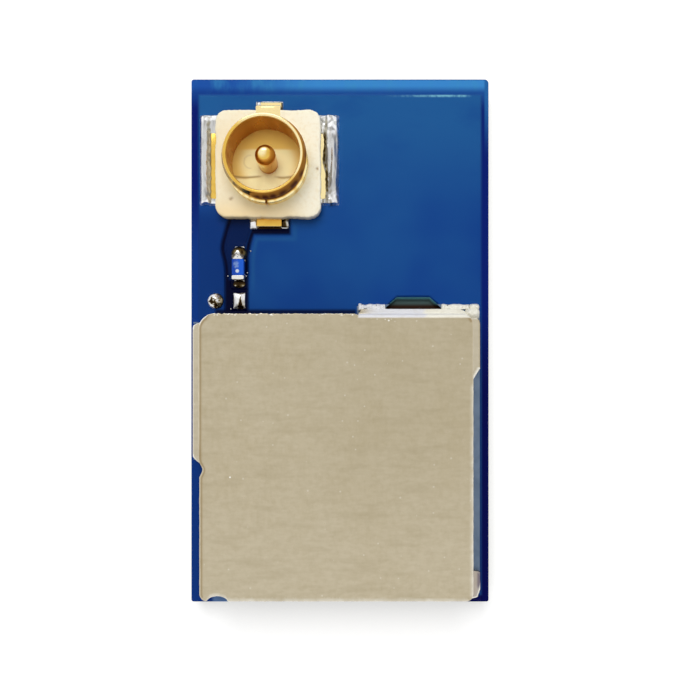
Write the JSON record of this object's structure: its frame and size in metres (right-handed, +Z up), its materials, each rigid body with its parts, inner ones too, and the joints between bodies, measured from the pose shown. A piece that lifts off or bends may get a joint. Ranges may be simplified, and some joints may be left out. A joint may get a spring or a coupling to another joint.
{
  "type": "bluetooth module",
  "caption": "Radio module: blue circuit board with a push-on coaxial aerial socket, a chip part on the radio line and a folded shield can, soldered down by lands on its underside.",
  "frame": {"origin": "middle of the circuit board's underside", "axes": "+Z up out of the board's top side, +Y along the board towards the aerial socket, +X to the east with the socket at the north-west"},
  "size_m": [0.0074, 0.013, 0.002],
  "materials": {
    "board_coat": "blue solder resist over glass laminate",
    "tinned_land": "tinned copper",
    "gold_land": "thin gold over nickel",
    "can_sheet": "nickel silver with a fine rolling grain",
    "solder": "bright reflowed solder",
    "housing_plastic": "cream moulding",
    "socket_gold": "gold plated contact",
    "chip_blue": "blue glazed ceramic",
    "chip_cap": "tinned end cap",
    "chip_epoxy": "black moulding compound",
    "crystal_ceramic": "brown fired ceramic",
    "crystal_lid": "seam-welded lid",
    "capacitor_ceramic": "tan fired ceramic",
    "inductor_ceramic": "dark grey ferrite"
  },
  "bodies": {
    "root": {"board": "board_coat", "top_lands": "tinned_land", "can_land": "tinned_land", "bottom_lands": "gold_land", "shield_can": "can_sheet", "can_solder": "solder", "coax_housing": "housing_plastic", "coax_barrel": "socket_gold", "coax_pin": "socket_gold", "coax_ground_solder": "solder", "coax_signal_solder": "solder", "coax_tab_solder": "solder", "matching_chip_body": "chip_blue", "matching_chip_caps": "chip_cap", "matching_chip_solder": "solder", "spare_pad_solder": "solder", "test_point_solder": "solder", "radio_chip_body": "chip_epoxy", "radio_chip_leads": "chip_cap", "main_crystal_base": "crystal_ceramic", "main_crystal_lid": "crystal_lid", "main_crystal_terminals": "gold_land", "clock_crystal_base": "crystal_ceramic", "clock_crystal_lid": "crystal_lid", "clock_crystal_terminals": "gold_land", "capacitor_bodies": "capacitor_ceramic", "capacitor_caps": "chip_cap", "inductor_bodies": "inductor_ceramic", "inductor_caps": "chip_cap", "inner_solder": "solder"}
  },
  "joints": []
}
